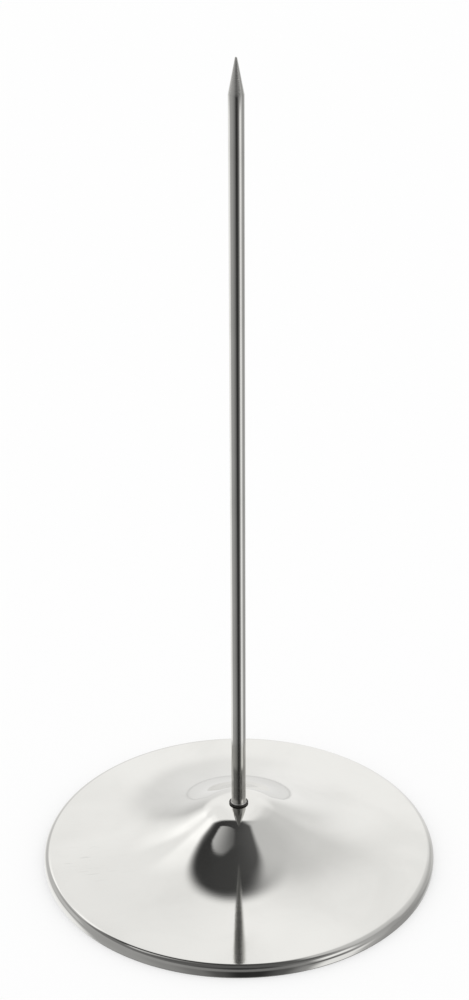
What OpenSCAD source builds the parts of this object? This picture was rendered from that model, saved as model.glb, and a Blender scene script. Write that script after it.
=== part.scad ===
// Receipt spike: a pointed wire that stands on a round pressed base.
// The origin is the middle of the base on the table, and the spike points up along Z.

/* [Base] */
// Diameter of the base over its skirt
base_d = 95; // [85:1:120]
// Thickness of the sheet that the base is pressed from
sheet_t = 0.8; // [0.5:0.1:1.2]
// Height of the flat seat on the crown above the table
seat_h = 15; // [12:0.5:22]
// Flat left on the seat outside the washer, all round
seat_margin = 0.1; // [0.1:0.1:1.5]
// Radius of the bend from the seat into the straight side
crown_r = 12; // [8:0.5:16]
// Length of the straight side between the crown's bend and the flare
side_l = 4; // [1:0.5:6]
// Slope of the straight brim, in degrees
edge_slope = 4; // [1:0.5:6]
// Width of the straight brim between the flare and the turned edge
brim_w = 5; // [1:0.5:12]
// Outside radius of the turned edge
edge_r = 2; // [1.4:0.1:3]
// Height of the straight skirt below the turned edge
skirt_h = 1; // [0.5:0.1:3]

/* [Spike] */
// Height of the point above the table
overall_h = 200; // [120:1:260]
// Diameter of the wire
wire_d = 3.5; // [3.2:0.1:4.5]
// Length of the ground point
point_l = 8; // [4:0.5:16]
// Diameter of the blunt end of the point
tip_d = 0.5; // [0.3:0.1:1]
// How far the collar flares out beyond the wire, each side
collar_flare = 0.55; // [0.3:0.05:1]
// Height of the collar's straight edge below the flare
collar_edge_h = 0.3; // [0.1:0.1:1]

/* [Fastening] */
// Diameter of the stud below the collar
stud_d = 3; // [2.5:0.1:3.1]
// Length of stud that shows below the nut
stud_end_l = 1; // [0.4:0.1:3]
// Outside diameter of the washer
washer_d = 6; // [5:0.5:9]
// Thickness of the washer
washer_t = 0.5; // [0.3:0.1:1]
// Width of the nut across its flats
nut_w = 5.5; // [5:0.5:7]
// Height of the nut
nut_h = 2.4; // [1.6:0.1:3.2]

/* [Fits] */
// Gap between the stud and the hole in the base, each side
hole_gap = 0.1; // [0.05:0.05:0.3]
// Gap between the stud and the washer, each side
washer_gap = 0.1; // [0.05:0.05:0.3]
// Gap between the stud and the nut, each side
thread_gap = 0.05; // [0.02:0.01:0.1]

/* [Hidden] */
$fn = 180;

// Straight steps along each of the three arcs of the base
crown_steps = 16;
flare_steps = 40;
edge_steps = 16;

// Width of the break on the stud's end and on the nut's bore
chamfer = 0.3;
// Slope of the nut's corner chamfer, in degrees
nut_chamfer_slope = 30;

base_r = base_d / 2;
wire_r = wire_d / 2;
stud_r = stud_d / 2;
hole_r = stud_r + hole_gap;
collar_r = wire_r + collar_flare;
seat_r = washer_d / 2 + seat_margin;

// Heights of the fastening, from the underside of the seat down
washer_z = seat_h - sheet_t - washer_t;
nut_z = washer_z - nut_h;
stud_z = nut_z - stud_end_l;

// The top of the sheet follows stretches that meet tangentially:
// the crown's bend, the straight side, the long hollow flare, the straight brim and the turned edge.
crown_c = [seat_r, seat_h - crown_r];
edge_c = [base_r - edge_r, skirt_h];
brim_normal = [sin(edge_slope), cos(edge_slope)];
brim_inward = [-cos(edge_slope), sin(edge_slope)];
// Point where the flare meets the brim
brim_p = edge_c + edge_r * brim_normal + brim_w * brim_inward;
crown_to_brim = brim_p - crown_c;
// Radius at which the flare leaves the brim at its slope and runs on into the straight side
flare_r = (crown_to_brim * crown_to_brim - crown_r * crown_r - side_l * side_l)
    / (2 * (crown_r - crown_to_brim * brim_normal));
flare_c = brim_p + flare_r * brim_normal;
// Slope of the straight side, which is the steepest of the base
side_slope = atan2(flare_c.x - crown_c.x, flare_c.y - crown_c.y) - atan2(side_l, crown_r + flare_r);

// Points along an arc, whose angles turn clockwise from straight up
function arc(centre, radius, from, to, steps) = [
    for (i = [0:steps])
        let (turn = from + (to - from) * i / steps)
        centre + radius * [sin(turn), cos(turn)]
];

// Line along the sheet at a depth below its top, from the hole out to the foot of the skirt
function sheet_line(depth) = concat(
    [[hole_r, seat_h - depth]],
    arc(crown_c, crown_r - depth, 0, side_slope, crown_steps),
    arc(flare_c, flare_r + depth, 180 + side_slope, 180 + edge_slope, flare_steps),
    arc(edge_c, edge_r - depth, edge_slope, 90, edge_steps),
    [[base_r - depth, 0]]
);

function reversed(points) = [for (i = [len(points) - 1:-1:0]) points[i]];

module base_dish() {
    color("gainsboro")
    rotate_extrude()
        polygon(concat(sheet_line(0), reversed(sheet_line(sheet_t))));
}

// Half section of the flared collar, which is hollowed by a quarter round
module collar_section() {
    collar_h = collar_edge_h + collar_flare;
    translate([0, seat_h])
    difference() {
        square([collar_r, collar_h]);
        translate([collar_r, collar_h])
            circle(r = collar_flare);
    }
}

module spike() {
    shoulder_z = overall_h - point_l;
    color("silver")
    rotate_extrude() {
        polygon([
            [0, stud_z],
            [stud_r - chamfer, stud_z],
            [stud_r, stud_z + chamfer],
            [stud_r, seat_h],
            [wire_r, seat_h],
            [wire_r, shoulder_z],
            [tip_d / 2, overall_h],
            [0, overall_h]
        ]);
        collar_section();
    }
}

module washer() {
    color("darkgray")
    translate([0, 0, washer_z])
    difference() {
        cylinder(d = washer_d, h = washer_t);
        translate([0, 0, -washer_t])
            cylinder(r = stud_r + washer_gap, h = 3 * washer_t);
    }
}

// Solid that trims the six corners of the nut at both ends
module nut_corners(corner_r) {
    face_r = nut_w / 2;
    drop = (corner_r - face_r) * tan(nut_chamfer_slope);
    rotate_extrude()
        polygon([
            [0, 0],
            [face_r, 0],
            [corner_r, drop],
            [corner_r, nut_h - drop],
            [face_r, nut_h],
            [0, nut_h]
        ]);
}

module nut() {
    bore_r = stud_r + thread_gap;
    corner_r = nut_w / 2 / cos(30);
    color("darkgray")
    translate([0, 0, nut_z])
    difference() {
        intersection() {
            cylinder(r = corner_r, h = nut_h, $fn = 6);
            nut_corners(corner_r + chamfer);
        }
        translate([0, 0, -nut_h])
            cylinder(r = bore_r, h = 3 * nut_h);
        cylinder(r1 = bore_r + chamfer, r2 = bore_r, h = chamfer);
        translate([0, 0, nut_h - chamfer])
            cylinder(r1 = bore_r, r2 = bore_r + chamfer, h = chamfer);
    }
}

base_dish();
spike();
washer();
nut();
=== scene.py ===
# %% [markdown]
# # Dressing a receipt spike
# A receipt spike is a pointed wire on a round base. Papers are pushed down on the point, and the
# base keeps it standing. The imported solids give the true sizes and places, and this lesson makes
# the polished metal that is seen: the pressed base, the wire with its ground point, and the washer
# and nut that hold the two together from below.

# %% Load the frame
from math import atan2, cos, degrees, pi, radians, sin, tan

import bpy
from mathutils import Matrix, Vector


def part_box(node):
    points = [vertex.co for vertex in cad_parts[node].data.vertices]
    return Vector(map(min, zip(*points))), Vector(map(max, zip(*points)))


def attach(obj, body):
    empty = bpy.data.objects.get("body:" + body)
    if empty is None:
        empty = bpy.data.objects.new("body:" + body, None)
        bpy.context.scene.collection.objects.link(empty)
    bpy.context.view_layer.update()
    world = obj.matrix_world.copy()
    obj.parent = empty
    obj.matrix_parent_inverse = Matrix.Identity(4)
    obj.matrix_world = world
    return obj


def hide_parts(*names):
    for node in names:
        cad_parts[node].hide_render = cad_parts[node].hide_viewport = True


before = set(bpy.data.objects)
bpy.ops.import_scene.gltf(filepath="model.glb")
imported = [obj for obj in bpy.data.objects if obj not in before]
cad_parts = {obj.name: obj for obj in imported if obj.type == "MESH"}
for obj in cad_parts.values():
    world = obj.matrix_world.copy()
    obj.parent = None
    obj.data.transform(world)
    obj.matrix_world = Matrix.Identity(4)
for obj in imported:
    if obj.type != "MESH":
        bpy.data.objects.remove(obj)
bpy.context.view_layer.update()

MM = 0.001
print("nodes:", sorted(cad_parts))

# %% [markdown]
# ## The camera
# The photograph looks down on the base from the front. A camera can be moved by hand until the
# outlines agree, but here its place was worked out from the outline of the rim, the two ends of the
# wire and how much wider the wire looks at its nearer end. It stands about 0.57 m away, looks 27.6
# degrees down and leans a quarter of a degree. Its lens is written for a sensor whose long side is
# the picture's height, because the picture is upright.

# %% Place the camera
FRAME_HEIGHT_PX = 1000
FOCAL_LENGTH_PX = 2313
SENSOR_MM = 36
CAMERA_PLACE = Vector((-0.7, -461.8, 339.0)) * MM
CAMERA_PITCH = radians(27.6)
CAMERA_LEAN = radians(-0.25)

camera_data = bpy.data.cameras.new("photo_camera")
camera_data.sensor_width = SENSOR_MM
camera_data.lens = FOCAL_LENGTH_PX * SENSOR_MM / FRAME_HEIGHT_PX
camera = bpy.data.objects.new("photo_camera", camera_data)
bpy.context.scene.collection.objects.link(camera)
look_down = Matrix.Rotation(pi / 2 - CAMERA_PITCH, 4, "X")
lean = Matrix.Rotation(CAMERA_LEAN, 4, "Z")
camera.matrix_world = Matrix.Translation(CAMERA_PLACE) @ look_down @ lean
bpy.context.scene.camera = camera
bpy.context.scene.view_settings.view_transform = "Standard"
print("lens in mm:", round(camera_data.lens, 1))

# %% [markdown]
# ## What the metal mirrors
# A polished surface has hardly any look of its own: it shows its surroundings. Lamps and cards
# could be set up round the object, but a world shader that gives the light by direction is easier
# to tune and brings no noise. The reflections tell what stood where. On the far side there is a
# white backdrop with a strip of light on its left. On the camera's side there is a darker room with
# a white floor on the left, one bright window with a dark sill on the right, and the dark camera in
# the middle. Dark and pale shapes hang overhead, and the object's own shade lies straight below.
# Mirrored rays get this room, the camera gets plain white, and the floor gets even light.

# %% Small helpers for node trees
def add_node(tree, kind, **settings):
    """Adds a node and sets its own properties, such as its operation."""
    node = tree.nodes.new(kind)
    for name, value in settings.items():
        setattr(node, name, value)
    return node


def calc(tree, operation, *values):
    """Adds a Math node. A number is typed into its socket, and anything else is linked to it."""
    node = add_node(tree, "ShaderNodeMath", operation=operation)
    for socket, value in zip(node.inputs, values):
        if isinstance(value, (int, float)):
            socket.default_value = value
        else:
            tree.links.new(value, socket)
    return node.outputs["Value"]


def soft_step(tree, value, low, high):
    """Rises smoothly from 0 at low to 1 at high."""
    node = add_node(tree, "ShaderNodeMapRange", interpolation_type="SMOOTHSTEP")
    tree.links.new(value, node.inputs["Value"])
    node.inputs["From Min"].default_value = low
    node.inputs["From Max"].default_value = high
    return node.outputs["Result"]


def mix_colour(tree, factor, first, second):
    """Mixes two colours. A tuple is typed into its socket, and a socket is linked."""
    node = add_node(tree, "ShaderNodeMix", data_type="RGBA")
    tree.links.new(factor, node.inputs["Factor"])
    # Of the node's sockets, these are the ones for colours
    for socket, value in zip((node.inputs[6], node.inputs[7]), (first, second)):
        if isinstance(value, tuple):
            socket.default_value = value
        else:
            tree.links.new(value, socket)
    return node.outputs[2]


def length_of(tree, first, second):
    """Length of the slanting side over two sides at right angles."""
    squares = [calc(tree, "MULTIPLY", side, side) for side in (first, second)]
    return calc(tree, "SQRT", calc(tree, "ADD", *squares))


def grey(level):
    return (level, level, level, 1)


print("a middle grey as a colour:", grey(0.5))

# %% Helpers: directions and soft shapes in the room
# Cosines between which a direction comes round to an oval's own side
SAME_SIDE = (0.0, 0.1)


def overhead(right, far):
    """Direction that lies so many degrees to the right and to the far side of straight up."""
    tilt = (right ** 2 + far ** 2) ** 0.5
    reach = sin(radians(tilt)) / tilt
    return Vector((right * reach, far * reach, cos(radians(tilt))))


def facing(tree, direction, towards):
    """Cosine of the angle between the ray and a fixed direction."""
    node = add_node(tree, "ShaderNodeVectorMath", operation="DOT_PRODUCT")
    tree.links.new(direction, node.inputs[0])
    node.inputs[1].default_value = towards
    return node.outputs["Value"]


def soft_oval(tree, direction, middle, long_deg, wide_deg, turn_deg, edge):
    """1 inside an oval round the direction middle, 0 outside, and the place along it from -1 to 1.

    The turn is taken from the right to the far side.
    """
    along = Vector((cos(radians(turn_deg)), sin(radians(turn_deg)), 0))
    along = (along - along.dot(middle) * middle).normalized()
    across = middle.cross(along)
    ahead = facing(tree, direction, along / sin(radians(long_deg)))
    aside = facing(tree, direction, across / sin(radians(wide_deg)))
    inside = soft_step(tree, length_of(tree, ahead, aside), 1 + edge, 1 - edge)
    same_side = soft_step(tree, facing(tree, direction, middle), *SAME_SIDE)
    return calc(tree, "MULTIPLY", inside, same_side), ahead


def level_ramp(tree, value, low, high, stops):
    """Grey levels along a value. The colour ramp's stops are written in the value's own units."""
    place = add_node(tree, "ShaderNodeMapRange")
    tree.links.new(value, place.inputs["Value"])
    place.inputs["From Min"].default_value = low
    place.inputs["From Max"].default_value = high
    ramp = add_node(tree, "ShaderNodeValToRGB")
    ramp.color_ramp.interpolation = "EASE"
    tree.links.new(place.outputs["Result"], ramp.inputs["Fac"])
    marks = ramp.color_ramp.elements
    while len(marks) < len(stops):
        marks.new(1.0)
    for mark, (at, level) in zip(marks, stops):
        mark.position = (at - low) / (high - low)
        mark.color = grey(level)
    return ramp.outputs["Color"]


print("20 degrees right of straight up:", [round(part, 2) for part in overhead(20, 0)])

# %% The room on the camera's side
# Levels by compass angle from the camera, positive to the right: low down, as the wire mirrors it
ROOM = (
    (-180, 0.95), (-140, 1.02), (-109, 0.98), (-91, 0.42), (-60, 0.36), (-40, 0.28),
    (-22, 0.19), (-11, 0.09), (0, 0.028), (11, 0.032), (24, 0.10), (38, 0.30), (51, 0.94),
    (66, 0.92), (80, 0.46), (95, 0.36), (118, 0.34), (150, 0.66), (180, 0.95),
)
# In a band above that
ROOM_BAND = (
    (-180, 0.80), (-125, 0.75), (-100, 0.44), (-60, 0.36), (-40, 0.32), (-20, 0.25),
    (0, 0.20), (20, 0.20), (37, 0.28), (49, 1.00), (60, 0.98), (71, 0.46), (100, 0.40),
    (140, 0.60), (180, 0.80),
)
# In the upper room, and wherever the foot of the wire mirrors the base
ROOM_UPPER = (
    (-180, 0.50), (-125, 0.30), (-100, 0.20), (-60, 0.18), (-40, 0.14), (-20, 0.08), (0, 0.03),
    (15, 0.05), (35, 0.18), (55, 0.28), (100, 0.32), (140, 0.45), (180, 0.50),
)
# The object's own shade on the table, straight below, and the ceiling, straight above
UNDER = 0.20
CEILING = 0.48
print("levels round the room:", [len(levels) for levels in (ROOM, ROOM_BAND, ROOM_UPPER)])

# %% Light the room
def between(start, end):
    """Heights of a direction at two elevations in degrees, for a soft change between the two."""
    return sin(radians(start)), sin(radians(end))


BAND_CHANGE = between(-4, 14)
UPPER_CHANGE = between(30, 40)
TWICE_CHANGE = between(17, 11)
UNDER_CHANGE = between(-43, -56)
CEILING_CHANGE = between(58, 72)


def light_room(tree, direction, twice):
    """The room on the camera's side by compass angle, with what is straight above and below it.

    What is mirrored for the second time sees no paler band, and low down it sees the base.
    """
    split = add_node(tree, "ShaderNodeSeparateXYZ")
    tree.links.new(direction, split.inputs["Vector"])
    height = split.outputs["Z"]
    towards_camera = calc(tree, "MULTIPLY", split.outputs["Y"], -1.0)
    compass = calc(tree, "ARCTAN2", split.outputs["X"], towards_camera)
    low, band, upper = (
        level_ramp(tree, compass, -pi, pi, [(radians(at), level) for at, level in stops])
        for stops in (ROOM, ROOM_BAND, ROOM_UPPER))
    above = soft_step(tree, height, *UPPER_CHANGE)
    high = mix_colour(tree, above, mix_colour(tree, twice, band, low), upper)
    room = mix_colour(tree, soft_step(tree, height, *BAND_CHANGE), low, high)
    low_again = calc(tree, "MULTIPLY", twice, soft_step(tree, height, *TWICE_CHANGE))
    room = mix_colour(tree, low_again, room, upper)
    room = mix_colour(tree, soft_step(tree, height, *UNDER_CHANGE), room, grey(UNDER))
    return mix_colour(tree, soft_step(tree, height, *CEILING_CHANGE), room, grey(CEILING))


changes = (BAND_CHANGE, UPPER_CHANGE, CEILING_CHANGE)
print("the room changes from heights", [round(start, 2) for start, end in changes], "up")

# %% The backdrop and the floor behind the object
# Levels from left to right: low down, and higher up, where a strip of light stands on the left
BACKDROP_LOW = (
    (-1.00, 0.58), (-0.70, 0.58), (-0.50, 0.67), (-0.25, 0.86), (-0.10, 0.90), (0.00, 0.97),
    (0.12, 1.05), (0.26, 1.00), (0.45, 0.81), (0.65, 0.58), (0.85, 0.48), (1.00, 0.36),
)
BACKDROP_HIGH = (
    (-1.00, 0.34), (-0.82, 0.34), (-0.70, 0.52), (-0.57, 1.26), (-0.46, 1.12), (-0.32, 0.98),
    (-0.18, 0.97), (0.06, 1.06), (0.20, 0.99), (0.45, 0.79), (0.60, 0.71), (0.80, 0.65),
    (1.00, 0.48),
)
BACKDROP_CHANGE = between(15, 31)
# The floor just below the horizon, and the thin line where it meets the backdrop
FLOOR_BEHIND = (
    (-1.00, 0.40), (-0.70, 0.62), (-0.40, 0.87), (0.40, 0.87), (0.65, 0.68), (1.00, 0.32),
)
HORIZON = sin(radians(-2.5))
HORIZON_LINE = 0.014
HORIZON_LEVEL = 0.68


def light_backdrop(tree, direction):
    """The backdrop above the horizon and the floor below it, on the far side."""
    split = add_node(tree, "ShaderNodeSeparateXYZ")
    tree.links.new(direction, split.inputs["Vector"])
    height = split.outputs["Z"]
    low, high, ground = (
        level_ramp(tree, split.outputs["X"], -1, 1, stops)
        for stops in (BACKDROP_LOW, BACKDROP_HIGH, FLOOR_BEHIND))
    backdrop = mix_colour(tree, soft_step(tree, height, *BACKDROP_CHANGE), low, high)
    below = soft_step(tree, height, HORIZON + HORIZON_LINE, HORIZON)
    behind = mix_colour(tree, below, backdrop, ground)
    near_line = calc(tree, "ABSOLUTE", calc(tree, "SUBTRACT", height, HORIZON))
    line = soft_step(tree, near_line, HORIZON_LINE, 0.0)
    return mix_colour(tree, line, behind, grey(HORIZON_LEVEL))


print("levels across the backdrop:", len(BACKDROP_LOW), "low down and", len(BACKDROP_HIGH), "above")

# %% Soft shapes in the room and overhead
# Degrees right and far of straight up, long and wide half sizes in degrees, turn, softness, and
# the levels at the two ends. In order: the window's dark sill, a paler band low on the backdrop, a
# dim gap in its strip of light, a pale wall on the right, the dark ceiling in three overlapping
# parts, a pale wall on the left, and a dark part on the camera's side
SOFT_SHAPES = (
    (76, -48, 22, 12, 58, 0.50, 0.06, 0.45),
    (-2, 62, 26, 9, 0, 0.60, 1.06, 1.06),
    (-29, 39, 12, 5, 37, 0.50, 0.98, 0.98),
    (33, 4, 23, 21, 90, 0.40, 0.58, 0.66),
    (-14.5, 11.6, 20.5, 9, 5, 0.36, 0.038, 0.05),
    (-3.6, 7, 11.2, 11.2, 0, 0.36, 0.05, 0.06),
    (5.8, -4, 11.4, 15.6, 0, 0.26, 0.055, 0.10),
    (-20, -5, 15, 11, -15, 0.10, 0.60, 0.13),
    (0, -20, 38, 15, 0, 0.25, 0.11, 0.11),
)


def lay_soft_shapes(tree, direction, below):
    """Lays the soft ovals over a colour, one after the other."""
    for right, far, long_deg, wide_deg, turn_deg, edge, first, last in SOFT_SHAPES:
        inside, along = soft_oval(
            tree, direction, overhead(right, far), long_deg, wide_deg, turn_deg, edge)
        level = mix_colour(tree, soft_step(tree, along, -1, 1), grey(first), grey(last))
        below = mix_colour(tree, inside, below, level)
    return below


print("soft shapes:", len(SOFT_SHAPES))

# %% Light the world by direction
# The backdrop reaches this elevation on the far side, and its edge is this soft
BACKDROP_TOP = radians(71)
BACKDROP_SOFT = 0.06
# Below the horizon the backdrop gives way to the room between these heights
BACKDROP_FOOT = between(-22, -4)
# Light on the floor, and the white that the camera sees behind the object
EVEN_LIGHT = 1.02
WHITE = 1.0
# How often a ray has been mirrored when it counts as mirrored once, and as mirrored twice
ONCE, TWICE = 1.0, 2.0
UP = Vector((0, 0, 1))


def light_world():
    world = bpy.data.worlds.new("studio")
    bpy.context.scene.world = world
    world.use_nodes = True
    tree = world.node_tree
    tree.nodes.clear()
    direction = add_node(tree, "ShaderNodeTexCoord").outputs["Generated"]
    away = Vector((0, sin(BACKDROP_TOP), -cos(BACKDROP_TOP)))
    on_far_side = soft_step(tree, facing(tree, direction, away), -BACKDROP_SOFT, BACKDROP_SOFT)
    not_below = soft_step(tree, facing(tree, direction, UP), *BACKDROP_FOOT)
    far = calc(tree, "MULTIPLY", on_far_side, not_below)
    path = add_node(tree, "ShaderNodeLightPath")
    twice = soft_step(tree, path.outputs["Glossy Depth"], ONCE, TWICE)
    room = light_room(tree, direction, twice)
    around = mix_colour(tree, far, room, light_backdrop(tree, direction))
    mirrored = lay_soft_shapes(tree, direction, around)
    shown = mix_colour(tree, path.outputs["Is Glossy Ray"], grey(EVEN_LIGHT), mirrored)
    shown = mix_colour(tree, path.outputs["Is Camera Ray"], shown, grey(WHITE))
    background = add_node(tree, "ShaderNodeBackground")
    tree.links.new(shown, background.inputs["Color"])
    output = add_node(tree, "ShaderNodeOutputWorld")
    tree.links.new(background.outputs["Background"], output.inputs["Surface"])


light_world()
print("world lit by direction, with a backdrop up to", round(degrees(BACKDROP_TOP)), "degrees")

# %% [markdown]
# ## The floor
# The object stands on a plain white sheet that is lit from below as well, as on a product table, so
# the soft shadow round the base stays light. Mirrored rays pass through the sheet, so that the wire
# and the skirt show the room and not a white glare from below. Seen from below the sheet is clear,
# so the underside of the base can be looked at too.

# %% Lay the floor
FLOOR_SIDE = 12.0
FLOOR_WHITE = 0.50
FLOOR_GLOW = 0.482


def floor_paper():
    material = bpy.data.materials.new("floor_paper")
    material.use_nodes = True
    tree = material.node_tree
    tree.nodes.clear()
    diffuse = add_node(tree, "ShaderNodeBsdfDiffuse")
    diffuse.inputs["Color"].default_value = grey(FLOOR_WHITE)
    glow = add_node(tree, "ShaderNodeEmission")
    glow.inputs["Strength"].default_value = FLOOR_GLOW
    both = add_node(tree, "ShaderNodeAddShader")
    tree.links.new(diffuse.outputs["BSDF"], both.inputs[0])
    tree.links.new(glow.outputs["Emission"], both.inputs[1])
    clear = add_node(tree, "ShaderNodeBsdfTransparent")
    side = add_node(tree, "ShaderNodeNewGeometry")
    from_above = add_node(tree, "ShaderNodeMixShader")
    tree.links.new(side.outputs["Backfacing"], from_above.inputs["Fac"])
    tree.links.new(both.outputs["Shader"], from_above.inputs[1])
    tree.links.new(clear.outputs["BSDF"], from_above.inputs[2])
    output = add_node(tree, "ShaderNodeOutputMaterial")
    tree.links.new(from_above.outputs["Shader"], output.inputs["Surface"])
    return material


bpy.ops.object.select_all(action="DESELECT")
bpy.ops.mesh.primitive_plane_add(size=FLOOR_SIDE, location=(0, 0, 0))
floor = bpy.context.object
floor.name = "floor"
floor.data.materials.append(floor_paper())
floor.visible_glossy = False
print("floor laid at z = 0")

# %% [markdown]
# ## Effects that the finishes share
# Polished steel isn't perfect. Buffing, drawing and grinding leave very fine lines, each in its own
# direction, hands and cloths leave a faint haze, and what is slid over the base leaves a few short
# marks. These could be painted on, but noise textures keep their detail at any distance. Each
# effect is a node group, so that a finish can place it with its own values.

# %% Node group: fine lines
LINE_DETAIL = 3.0
LINE_CONTRAST = (0.3, 0.7)


def new_group(name, inputs, output):
    """An empty node group with its input sockets by name, one output and the nodes for both."""
    group = bpy.data.node_groups.new(name, "ShaderNodeTree")
    for label, kind in inputs.items():
        group.interface.new_socket(name=label, in_out="INPUT", socket_type="NodeSocket" + kind)
    group.interface.new_socket(name=output, in_out="OUTPUT", socket_type="NodeSocketFloat")
    entry = add_node(group, "NodeGroupInput")
    leave = add_node(group, "NodeGroupOutput")
    return group, entry, leave


def make_fine_lines():
    """Lines that change quickly across and slowly along. Both places are lengths in metres."""
    inputs = ("Across", "Along", "Lines per metre", "Breaks per metre")
    group, entry, leave = new_group("fine_lines", dict.fromkeys(inputs, "Float"), "Lines")
    across = calc(group, "MULTIPLY", entry.outputs["Across"], entry.outputs["Lines per metre"])
    along = calc(group, "MULTIPLY", entry.outputs["Along"], entry.outputs["Breaks per metre"])
    place = add_node(group, "ShaderNodeCombineXYZ")
    group.links.new(across, place.inputs["X"])
    group.links.new(along, place.inputs["Y"])
    noise = add_node(group, "ShaderNodeTexNoise", noise_dimensions="2D")
    noise.inputs["Scale"].default_value = 1.0
    noise.inputs["Detail"].default_value = LINE_DETAIL
    group.links.new(place.outputs["Vector"], noise.inputs["Vector"])
    group.links.new(soft_step(group, noise.outputs["Fac"], *LINE_CONTRAST), leave.inputs["Lines"])
    return group


fine_lines = make_fine_lines()
print("made node group", fine_lines.name)

# %% Node group: wiped haze
HAZE_DETAIL = 4.0
HAZE_SWIRL = 0.6
HAZE_CONTRAST = (0.35, 0.75)


def make_wiped_haze():
    """Soft cloudy patches that a cloth or a hand leaves."""
    inputs = {"Place": "Vector", "Patches per metre": "Float"}
    group, entry, leave = new_group("wiped_haze", inputs, "Haze")
    noise = add_node(group, "ShaderNodeTexNoise")
    noise.inputs["Detail"].default_value = HAZE_DETAIL
    noise.inputs["Distortion"].default_value = HAZE_SWIRL
    group.links.new(entry.outputs["Place"], noise.inputs["Vector"])
    group.links.new(entry.outputs["Patches per metre"], noise.inputs["Scale"])
    group.links.new(soft_step(group, noise.outputs["Fac"], *HAZE_CONTRAST), leave.inputs["Haze"])
    return group


wiped_haze = make_wiped_haze()
print("made node group", wiped_haze.name)

# %% Node group: rubbed marks
MARK_TURN = radians(8)
# Marks per metre along and across them, and patches per metre
MARKS_ALONG = 130.0
MARKS_ACROSS = 2600.0
MARK_PATCHES = 38.0
MARK_CONTRAST = (0.66, 0.80)
PATCH_CONTRAST = (0.60, 0.74)


def make_rubbed_marks():
    """A few short faint scuffs in patches, as from coins and papers that are slid over the base."""
    group, entry, leave = new_group("rubbed_marks", {"Place": "Vector"}, "Marks")
    turned = add_node(group, "ShaderNodeMapping")
    turned.inputs["Rotation"].default_value = (0, 0, MARK_TURN)
    turned.inputs["Scale"].default_value = (MARKS_ALONG, MARKS_ACROSS, 1.0)
    streaks = add_node(group, "ShaderNodeTexNoise", noise_dimensions="2D")
    streaks.inputs["Scale"].default_value = 1.0
    patches = add_node(group, "ShaderNodeTexNoise", noise_dimensions="2D")
    patches.inputs["Scale"].default_value = MARK_PATCHES
    group.links.new(entry.outputs["Place"], turned.inputs["Vector"])
    group.links.new(turned.outputs["Vector"], streaks.inputs["Vector"])
    group.links.new(entry.outputs["Place"], patches.inputs["Vector"])
    streak_mask = soft_step(group, streaks.outputs["Fac"], *MARK_CONTRAST)
    patch_mask = soft_step(group, patches.outputs["Fac"], *PATCH_CONTRAST)
    group.links.new(calc(group, "MULTIPLY", streak_mask, patch_mask), leave.inputs["Marks"])
    return group


rubbed_marks = make_rubbed_marks()
print("made node group", rubbed_marks.name)

# %% [markdown]
# ## The finishes
# All pieces are bare steel, so every finish is metallic and differs in how smooth it is and which
# way its fine lines run: round the axis on the base, along the wire, and in close rings on the
# ground point. The sheet's underside was never polished. The foot of the collar, where it meets the
# base, is painted nearly black: painted shade of the gap under it.

# %% Helpers: place the effects
def cylinder_places(tree):
    """Object coordinates, the radius, the angle and the height of a point."""
    place = add_node(tree, "ShaderNodeTexCoord").outputs["Object"]
    split = add_node(tree, "ShaderNodeSeparateXYZ")
    tree.links.new(place, split.inputs["Vector"])
    x, y, z = split.outputs
    return place, length_of(tree, x, y), calc(tree, "ARCTAN2", y, x), z


def place_lines(tree, across, along, lines_per_metre, breaks_per_metre):
    node = add_node(tree, "ShaderNodeGroup", node_tree=fine_lines)
    tree.links.new(across, node.inputs["Across"])
    tree.links.new(along, node.inputs["Along"])
    node.inputs["Lines per metre"].default_value = lines_per_metre
    node.inputs["Breaks per metre"].default_value = breaks_per_metre
    return node.outputs["Lines"]


def place_haze(tree, place, patches_per_metre):
    node = add_node(tree, "ShaderNodeGroup", node_tree=wiped_haze)
    tree.links.new(place, node.inputs["Place"])
    node.inputs["Patches per metre"].default_value = patches_per_metre
    return node.outputs["Haze"]


def place_marks(tree, place):
    node = add_node(tree, "ShaderNodeGroup", node_tree=rubbed_marks)
    tree.links.new(place, node.inputs["Place"])
    return node.outputs["Marks"]


print("effects to place:", [group.name for group in (fine_lines, wiped_haze, rubbed_marks)])

# %% Helper: a steel finish
def steel_finish(
        name, bright, hazy, smooth, line_rough, haze_rough, line_depth, lines, haze_patches,
        marked=None):
    """A steel whose haze changes its colour, and whose fine lines change its relief.

    Both change its roughness. A third colour gives it rubbed marks.
    """
    material = bpy.data.materials.new(name)
    material.use_nodes = True
    tree = material.node_tree
    shader = tree.nodes["Principled BSDF"]
    shader.inputs["Metallic"].default_value = 1.0
    place, radius, angle, height = cylinder_places(tree)
    line_mask = lines(tree, radius, angle, height)
    haze_mask = place_haze(tree, place, haze_patches)
    colour = mix_colour(tree, haze_mask, bright, hazy)
    if marked:
        colour = mix_colour(tree, place_marks(tree, place), colour, marked)
    tree.links.new(colour, shader.inputs["Base Color"])
    rough = calc(tree, "MULTIPLY_ADD", line_mask, line_rough, smooth)
    rough = calc(tree, "MULTIPLY_ADD", haze_mask, haze_rough, rough)
    tree.links.new(rough, shader.inputs["Roughness"])
    bump = add_node(tree, "ShaderNodeBump")
    bump.inputs["Distance"].default_value = line_depth
    tree.links.new(line_mask, bump.inputs["Height"])
    tree.links.new(bump.outputs["Normal"], shader.inputs["Normal"])
    return material


print("a finish is made from two colours, or from three with rubbed marks")

# %% Which way the fine lines run
# Radius at which the way round is measured, lines per metre across and breaks per metre along
BUFFED_RINGS = (25 * MM, 5000.0, 90.0)
GROUND_RINGS = (1 * MM, 9000.0, 900.0)
DRAWN_LINES = (1.75 * MM, 9000.0, 60.0)


def rings_by_radius(tree, radius, angle, height):
    at_r, lines, breaks = BUFFED_RINGS
    return place_lines(tree, radius, calc(tree, "MULTIPLY", angle, at_r), lines, breaks)


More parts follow.
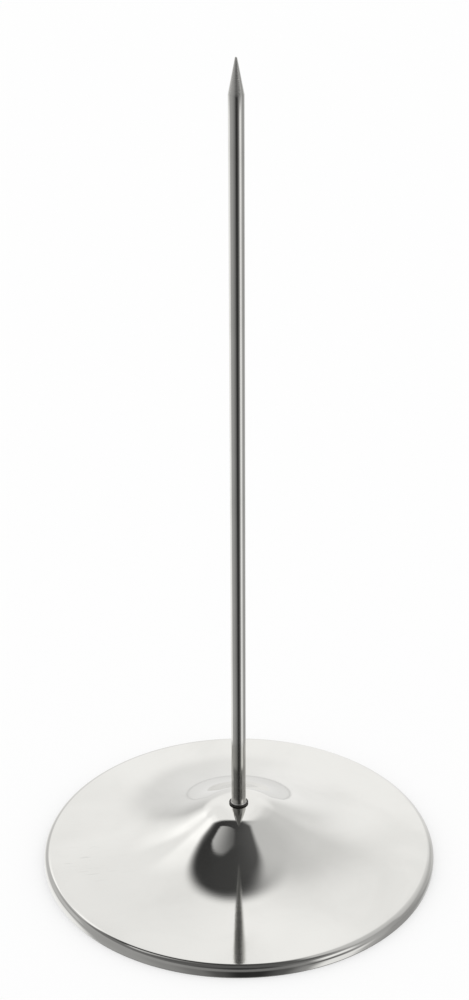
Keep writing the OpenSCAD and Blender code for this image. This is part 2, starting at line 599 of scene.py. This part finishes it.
def rings_by_height(tree, radius, angle, height):
    at_r, lines, breaks = GROUND_RINGS
    return place_lines(tree, height, calc(tree, "MULTIPLY", angle, at_r), lines, breaks)


def lines_along(tree, radius, angle, height):
    at_r, lines, breaks = DRAWN_LINES
    return place_lines(tree, calc(tree, "MULTIPLY", angle, at_r), height, lines, breaks)


print("lines per metre:", [kind[1] for kind in (BUFFED_RINGS, GROUND_RINGS, DRAWN_LINES)])

# %% Make the finishes
STEEL = (0.790, 0.783, 0.754, 1)
STEEL_HAZY = (0.735, 0.728, 0.70, 1)
STEEL_MARKED = (0.655, 0.65, 0.625, 1)
UNDERSIDE = (0.60, 0.60, 0.575, 1)
UNDERSIDE_HAZY = (0.52, 0.52, 0.495, 1)
FASTENER = (0.62, 0.62, 0.595, 1)
FASTENER_HAZY = (0.50, 0.50, 0.475, 1)
# Painted shade: a nearly black colour for the shadowed gap under the collar
SEAM_SHADE = (0.085, 0.083, 0.078, 1)
SEAM_SHADE_HAZY = (0.05, 0.049, 0.046, 1)

polished_sheet = steel_finish(
    "sheet_finish", STEEL, STEEL_HAZY, smooth=0.03, line_rough=0.02, haze_rough=0.03,
    line_depth=0.0005 * MM, lines=rings_by_radius, haze_patches=45.0, marked=STEEL_MARKED)
rolled_underside = steel_finish(
    "underside_finish", UNDERSIDE, UNDERSIDE_HAZY, smooth=0.26, line_rough=0.08, haze_rough=0.10,
    line_depth=0.002 * MM, lines=rings_by_radius, haze_patches=70.0)
polished_wire = steel_finish(
    "wire_finish", STEEL, STEEL_HAZY, smooth=0.08, line_rough=0.05, haze_rough=0.04,
    line_depth=0.0006 * MM, lines=lines_along, haze_patches=60.0)
ground_point = steel_finish(
    "point_finish", STEEL, STEEL_HAZY, smooth=0.14, line_rough=0.10, haze_rough=0.04,
    line_depth=0.004 * MM, lines=rings_by_height, haze_patches=200.0)
plain_steel = steel_finish(
    "fastener_finish", FASTENER, FASTENER_HAZY, smooth=0.22, line_rough=0.10, haze_rough=0.12,
    line_depth=0.003 * MM, lines=rings_by_radius, haze_patches=400.0)
# The painted shade under the collar, as a finish of its own
painted_seam_shade = steel_finish(
    "seam_painted_shade", SEAM_SHADE, SEAM_SHADE_HAZY, smooth=0.45, line_rough=0.10, haze_rough=0.10,
    line_depth=0.003 * MM, lines=rings_by_height, haze_patches=600.0)
FINISHES = (polished_sheet, rolled_underside, polished_wire, ground_point, plain_steel, painted_seam_shade)
print("finishes:", [finish.name for finish in FINISHES])

# %% [markdown]
# ## Drawing a section and turning it
# The pieces are round or are cut from something round, and a lathe or a press makes such things.
# They could be put together from cylinders and cones, but those meet in kinks. Here each is a
# section, drawn point by point in the XZ plane and spun about Z. A plane merged to its middle gives
# the first point, extruding it draws straight stretches, and spinning the last point about a centre
# draws arcs.

# %% Helpers: section tools
# Points closer than this are merged, and places closer than that count as the same
MERGE_GAP = 0.001 * MM
SAME_PLACE = 0.01 * MM
# Faces that meet at a smaller angle than this are shaded as one surface
SHEET_SMOOTH = radians(40)
WIRE_SMOOTH = radians(30)
NUT_SMOOTH = radians(25)


def first_point(name, x, z):
    """Starts a piece as one vertex, left selected in edit mode."""
    bpy.ops.object.select_all(action="DESELECT")
    bpy.ops.mesh.primitive_plane_add(size=MM, location=(x, 0, z))
    piece = bpy.context.object
    piece.name = name
    piece.data.name = name
    bpy.ops.object.transform_apply(location=True, rotation=True, scale=True)
    bpy.ops.object.mode_set(mode="EDIT")
    bpy.ops.mesh.select_mode(type="VERT")
    bpy.ops.mesh.select_all(action="SELECT")
    bpy.ops.mesh.merge(type="CENTER")
    return piece


def line_by(dx, dz, parts=1):
    """Draws a straight stretch on from the last point."""
    step = (dx / parts, 0, dz / parts)
    for _ in range(parts):
        bpy.ops.mesh.extrude_vertices_move(TRANSFORM_OT_translate={"value": step})


def arc_by(centre_x, centre_z, turn, steps):
    """Draws an arc on from the last point. A positive turn goes clockwise, from up to the right."""
    bpy.ops.mesh.spin(steps=steps, angle=turn, center=(centre_x, 0, centre_z), axis=(0, -1, 0))


def merge_points():
    """Merges points that lie together, such as the first and the last of a closed section."""
    bpy.ops.mesh.select_all(action="SELECT")
    bpy.ops.mesh.remove_doubles(threshold=MERGE_GAP)


def turn_section(steps):
    """Spins the whole section about Z, closes its seam and leaves edit mode."""
    bpy.ops.mesh.select_all(action="SELECT")
    bpy.ops.mesh.spin(steps=steps, angle=2 * pi, center=(0, 0, 0), axis=(0, 0, 1))
    merge_points()
    bpy.ops.mesh.normals_make_consistent(inside=False)
    bpy.ops.object.mode_set(mode="OBJECT")


def radius_of(point):
    return (point.x ** 2 + point.y ** 2) ** 0.5


print("points closer than", round(MERGE_GAP / MM, 4), "mm are merged")

# %% [markdown]
# ## The pressed base
# The base is one round sheet: its edge is turned down, and its middle is drawn up into a bell with
# a small flat seat. A subdivided disc would wave a little, and a wave or a kink in a mirror shows
# at once. So the section has true stretches that meet tangentially: the crown's bend, a straight
# side, a long hollow flare, a straight brim and the turned edge. The flare's radius is worked out
# so that it leaves the brim at its slope and runs on into the straight side. Solidify then gives
# the sheet its thickness, and its two cut edges are rounded.

# %% Work out the section of the base
# The sizes that a box doesn't tell are the solids' own
base_low, base_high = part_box("base_dish")
BASE_R = base_high.x
SEAT_Z = base_high.z
SHEET_T = 0.8 * MM
HOLE_R = 1.6 * MM
SEAT_R = 3.1 * MM
CROWN_R = 12.0 * MM
SIDE_L = 4.0 * MM
EDGE_R = 2.0 * MM
EDGE_SLOPE = radians(4)
BRIM_W = 5.0 * MM
SKIRT_H = 1.0 * MM

crown_c = Vector((SEAT_R, SEAT_Z - CROWN_R))
edge_c = Vector((BASE_R - EDGE_R, SKIRT_H))
brim_normal = Vector((sin(EDGE_SLOPE), cos(EDGE_SLOPE)))
brim_outward = Vector((cos(EDGE_SLOPE), -sin(EDGE_SLOPE)))
brim_point = edge_c + EDGE_R * brim_normal - BRIM_W * brim_outward
reach = brim_point - crown_c
flare_r = reach.dot(reach) - CROWN_R ** 2 - SIDE_L ** 2
flare_r /= 2 * (CROWN_R - reach.dot(brim_normal))
flare_c = brim_point + flare_r * brim_normal
steepest = atan2(flare_c.x - crown_c.x, flare_c.y - crown_c.y) - atan2(SIDE_L, CROWN_R + flare_r)
side_along = Vector((cos(steepest), -sin(steepest)))
print("flare radius in mm:", round(flare_r / MM, 2), "steepest slope:", round(degrees(steepest), 2))

# %% Press the base
ROUND_STEPS = 256
# Steps along the three arcs, and parts of the seat and the skirt and of the two straight stretches
CROWN_STEPS = 16
FLARE_STEPS = 48
EDGE_STEPS = 16
END_PARTS = 2
STRAIGHT_PARTS = 4

base = first_point("pressed_base", HOLE_R, SEAT_Z)
line_by(SEAT_R - HOLE_R, 0, END_PARTS)
arc_by(*crown_c, steepest, CROWN_STEPS)
line_by(*(SIDE_L * side_along), STRAIGHT_PARTS)
arc_by(*flare_c, EDGE_SLOPE - steepest, FLARE_STEPS)
line_by(*(BRIM_W * brim_outward), STRAIGHT_PARTS)
arc_by(*edge_c, pi / 2 - EDGE_SLOPE, EDGE_STEPS)
line_by(0, -SKIRT_H, END_PARTS)
turn_section(ROUND_STEPS)
if base.data.polygons[0].normal.z < 0:
    base.data.flip_normals()
base.data.materials.append(polished_sheet)
base.data.materials.append(rolled_underside)
# The sheet lies below the drawn line, and its other side takes the second finish
wall = base.modifiers.new("wall", "SOLIDIFY")
wall.thickness = SHEET_T
wall.offset = -1
wall.use_even_offset = True
wall.material_offset = 1
bpy.ops.object.modifier_apply(modifier=wall.name)
print("sheet pressed from", round(HOLE_R / MM, 2), "to", round(BASE_R / MM, 2), "mm from the axis")

# %% Round the cut edges of the sheet
CUT_EDGE_ROUND = 0.25 * MM
CUT_EDGE_SEGMENTS = 3


def select_edges(piece, belongs):
    """Selects the edges whose two ends belong, and goes into edit mode."""
    bpy.ops.object.mode_set(mode="EDIT")
    bpy.ops.mesh.select_mode(type="EDGE")
    bpy.ops.mesh.select_all(action="DESELECT")
    bpy.ops.object.mode_set(mode="OBJECT")
    points = piece.data.vertices
    for edge in piece.data.edges:
        edge.select = belongs(*(points[end].co for end in edge.vertices))
    bpy.ops.object.mode_set(mode="EDIT")


def runs_round_a_cut(first, last):
    """True for an edge that runs round the axis at the foot of the skirt or in the hole."""
    wider = abs(radius_of(first) - radius_of(last))
    if wider > SAME_PLACE or abs(first.z - last.z) > SAME_PLACE:
        return False
    return first.z < base_low.z + SAME_PLACE or radius_of(first) < HOLE_R + SAME_PLACE


select_edges(base, runs_round_a_cut)
bpy.ops.mesh.bevel(offset=CUT_EDGE_ROUND, segments=CUT_EDGE_SEGMENTS, affect="EDGES")
bpy.ops.object.mode_set(mode="OBJECT")
bpy.ops.object.shade_smooth_by_angle(angle=SHEET_SMOOTH)
print("pressed base:", len(base.data.polygons), "faces")

# %% [markdown]
# ## The spike
# The spike is drawn wire. One end is ground to a point, and the other is upset into a small flared
# collar that sits on the base, with a thinner threaded stud below it. It could be joined from
# cylinders and cones, but here the whole outline is one section, drawn from the point down, so that
# it stays one closed skin.

# %% Turn the spike
spike_low, spike_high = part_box("spike")
TIP_Z = spike_high.z
STUD_Z = spike_low.z
COLLAR_R = spike_high.x
WIRE_R = 1.75 * MM
POINT_L = 8.0 * MM
TIP_R = 0.25 * MM
COLLAR_EDGE_H = 0.3 * MM
STUD_R = 1.5 * MM
THREAD_DEPTH = 0.3 * MM
STUD_BREAK = 0.3 * MM
SEAM_BREAK = 0.12 * MM
WIRE_STEPS = 96
# Steps along the two arcs, and parts of the straight stretches
TIP_STEPS = 6
COLLAR_STEPS = 8
POINT_PARTS = 12
WIRE_PARTS = 40
STUD_PARTS = 4

flare = COLLAR_R - WIRE_R
shoulder_z = TIP_Z - POINT_L
core_r = STUD_R - THREAD_DEPTH
cone_lean = atan2(WIRE_R - TIP_R, POINT_L - TIP_R)
spike = first_point("spiked_wire", 0, TIP_Z)
arc_by(0, TIP_Z - TIP_R, pi / 2 - cone_lean, TIP_STEPS)
tip_side = Vector((TIP_R * cos(cone_lean), TIP_Z - TIP_R + TIP_R * sin(cone_lean)))
line_by(WIRE_R - tip_side.x, shoulder_z - tip_side.y, POINT_PARTS)
line_by(0, SEAT_Z + COLLAR_EDGE_H + flare - shoulder_z, WIRE_PARTS)
arc_by(COLLAR_R, SEAT_Z + COLLAR_EDGE_H + flare, -pi / 2, COLLAR_STEPS)
line_by(0, SEAM_BREAK - COLLAR_EDGE_H)
line_by(-SEAM_BREAK, -SEAM_BREAK)
line_by(core_r - COLLAR_R + SEAM_BREAK, 0)
line_by(0, STUD_Z + STUD_BREAK - SEAT_Z, STUD_PARTS)
line_by(-STUD_BREAK, -STUD_BREAK)
line_by(STUD_BREAK - core_r, 0)
turn_section(WIRE_STEPS)
bpy.ops.object.shade_smooth_by_angle(angle=WIRE_SMOOTH)
print("spike:", len(spike.data.polygons), "faces, up to", round(TIP_Z / MM, 2), "mm high")

# %% Give the spike its finishes
# Height up the collar that gets the painted shade
SEAM_SHADE_H = 0.46 * MM
SPIKE_FINISHES = (polished_wire, ground_point, plain_steel, painted_seam_shade)


def finish_at(height):
    """The finish that the spike has at a height."""
    if height > shoulder_z:
        return ground_point
    if height < SEAT_Z - SAME_PLACE:
        return plain_steel
    # Below this height the collar gets the painted shade of the gap under it
    return painted_seam_shade if height < SEAT_Z + SEAM_SHADE_H else polished_wire


for finish in SPIKE_FINISHES:
    spike.data.materials.append(finish)
for face in spike.data.polygons:
    face.material_index = SPIKE_FINISHES.index(finish_at(face.center.z))
print("finishes on the spike:", [finish.name for finish in SPIKE_FINISHES])

# %% [markdown]
# ## The stud's thread
# A rolled thread is a ridge that climbs the stud like a screw. Plain rings would look much the same
# from afar, but they don't climb. A small ridge section is drawn at the lower end and taken round
# and up by the Screw modifier, and its two ends are filled.

# %% Roll the thread
THREAD_PITCH = 0.5 * MM
THREAD_STEPS = 40
RIDGE_ROOT_H = 0.44 * MM
RIDGE_CREST_H = 0.08 * MM
RIDGE_SINK = 0.05 * MM

thread_low = STUD_Z + STUD_BREAK
turns = int((SEAT_Z - SHEET_T - thread_low) / THREAD_PITCH) - 1
flank_h = (RIDGE_ROOT_H - RIDGE_CREST_H) / 2
ridge_out = THREAD_DEPTH + RIDGE_SINK
thread = first_point("stud_thread", core_r - RIDGE_SINK, thread_low)
line_by(ridge_out, flank_h)
line_by(0, RIDGE_CREST_H)
line_by(-ridge_out, flank_h)
line_by(0, -RIDGE_ROOT_H)
merge_points()
bpy.ops.object.mode_set(mode="OBJECT")
climb = thread.modifiers.new("climb", "SCREW")
climb.axis = "Z"
climb.angle = 2 * pi * turns
climb.screw_offset = THREAD_PITCH * turns
climb.steps = THREAD_STEPS * turns
climb.render_steps = climb.steps
bpy.ops.object.modifier_apply(modifier=climb.name)
bpy.ops.object.mode_set(mode="EDIT")
bpy.ops.mesh.select_mode(type="EDGE")
bpy.ops.mesh.select_all(action="DESELECT")
bpy.ops.mesh.select_non_manifold()
bpy.ops.mesh.edge_face_add()
bpy.ops.mesh.select_all(action="SELECT")
bpy.ops.mesh.normals_make_consistent(inside=False)
bpy.ops.object.mode_set(mode="OBJECT")
bpy.ops.object.shade_smooth_by_angle(angle=WIRE_SMOOTH)
thread.data.materials.append(plain_steel)
print("thread:", turns, "turns,", len(thread.data.polygons), "faces")

# %% [markdown]
# ## The washer and the nut
# The washer is punched from strip, so its section is a flat bar with rounded corners. The nut is a
# six-sided bar whose corners are turned off at both ends: a turned ring with a bore, cut by a
# six-sided prism, gives exactly that.

# %% Punch the washer
washer_low, washer_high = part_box("washer")
WASHER_R = washer_high.x
WASHER_BORE_R = 1.6 * MM
WASHER_ROUND = 0.12 * MM
CORNER_STEPS = 4

washer_w = WASHER_R - WASHER_BORE_R
washer_t = washer_high.z - washer_low.z


def rounded_bar(name, inner, width, low, tall, round_r, steps):
    """Closed section of a flat bar, with its four corners rounded."""
    piece = first_point(name, inner + round_r, low)
    line_by(width - 2 * round_r, 0)
    arc_by(inner + width - round_r, low + round_r, -pi / 2, steps)
    line_by(0, tall - 2 * round_r)
    arc_by(inner + width - round_r, low + tall - round_r, -pi / 2, steps)
    line_by(2 * round_r - width, 0)
    arc_by(inner + round_r, low + tall - round_r, -pi / 2, steps)
    line_by(0, 2 * round_r - tall)
    arc_by(inner + round_r, low + round_r, -pi / 2, steps)
    merge_points()
    return piece


washer = rounded_bar(
    "plain_washer", WASHER_BORE_R, washer_w, washer_low.z, washer_t, WASHER_ROUND, CORNER_STEPS)
turn_section(WIRE_STEPS)
bpy.ops.object.shade_smooth_by_angle(angle=SHEET_SMOOTH)
washer.data.materials.append(plain_steel)
print("washer:", len(washer.data.polygons), "faces")

# %% Turn the nut's ring
nut_low, nut_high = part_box("nut")
# Share of the width across the flats that the flat ring on each end takes
NUT_FACE_SHARE = 0.93
NUT_FACE_R = NUT_FACE_SHARE * nut_high.y
NUT_CORNER_R = nut_high.x
NUT_BORE_R = 1.55 * MM
NUT_BREAK = 0.3 * MM
NUT_CHAMFER = radians(30)
NUT_SPARE = 0.3 * MM

nut_h = nut_high.z - nut_low.z
ring_r = NUT_CORNER_R + NUT_SPARE
corner_drop = (ring_r - NUT_FACE_R) * tan(NUT_CHAMFER)
nut = first_point("hexagon_nut", NUT_BORE_R + NUT_BREAK, nut_low.z)
line_by(NUT_FACE_R - NUT_BORE_R - NUT_BREAK, 0)
line_by(ring_r - NUT_FACE_R, corner_drop)
line_by(0, nut_h - 2 * corner_drop)
line_by(NUT_FACE_R - ring_r, corner_drop)
line_by(NUT_BORE_R + NUT_BREAK - NUT_FACE_R, 0)
line_by(-NUT_BREAK, -NUT_BREAK)
line_by(0, 2 * NUT_BREAK - nut_h)
line_by(NUT_BREAK, -NUT_BREAK)
merge_points()
turn_section(WIRE_STEPS)
print("nut's ring turned, with a bore of", round(2 * NUT_BORE_R / MM, 2), "mm")

# %% Cut the six sides of the nut
NUT_SIDES = 6
NUT_EDGE_ROUND = 0.06 * MM
NUT_EDGE_SEGMENTS = 2
# The cut leaves slivers up to this size along the corners
NUT_SLIVER = 0.002 * MM

bpy.ops.object.select_all(action="DESELECT")
bpy.ops.mesh.primitive_cylinder_add(
    vertices=NUT_SIDES, radius=NUT_CORNER_R, depth=2 * nut_h,
    location=(0, 0, (nut_low.z + nut_high.z) / 2), rotation=(0, 0, pi / 2))
prism = bpy.context.object
bpy.ops.object.transform_apply(location=True, rotation=True, scale=True)
bpy.context.view_layer.objects.active = nut
cut = nut.modifiers.new("six_sides", "BOOLEAN")
cut.operation = "INTERSECT"
cut.solver = "EXACT"
cut.object = prism
bpy.ops.object.modifier_apply(modifier=cut.name)
bpy.data.objects.remove(prism)
soften = nut.modifiers.new("soften", "BEVEL")
soften.width = NUT_EDGE_ROUND
soften.segments = NUT_EDGE_SEGMENTS
soften.limit_method = "ANGLE"
soften.angle_limit = NUT_SMOOTH
bpy.ops.object.modifier_apply(modifier=soften.name)
bpy.ops.object.select_all(action="DESELECT")
nut.select_set(True)
bpy.ops.object.mode_set(mode="EDIT")
bpy.ops.mesh.select_all(action="SELECT")
bpy.ops.mesh.remove_doubles(threshold=NUT_SLIVER)
bpy.ops.mesh.dissolve_degenerate(threshold=NUT_SLIVER)
bpy.ops.mesh.normals_make_consistent(inside=False)
bpy.ops.object.mode_set(mode="OBJECT")
bpy.ops.object.shade_smooth_by_angle(angle=NUT_SMOOTH)
nut.data.materials.append(plain_steel)
print("nut:", len(nut.data.polygons), "faces")

# %% [markdown]
# ## Putting it together
# Nothing on a receipt spike moves, so all pieces ride on the one body. Each stands for its packed
# solid, which is hidden. The thread has no solid of its own.

# %% Seat the pieces on the frame
SEATS = (
    (base, "base_dish", "polished_base"),
    (spike, "spike", "polished_wire"),
    (washer, "washer", "plain_fastener"),
    (nut, "nut", "plain_fastener"),
)
for piece, node, slot in SEATS:
    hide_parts(node)
    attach(piece, "root")
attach(thread, "root")
print("seated:", [piece.name for piece, node, slot in SEATS] + [thread.name])
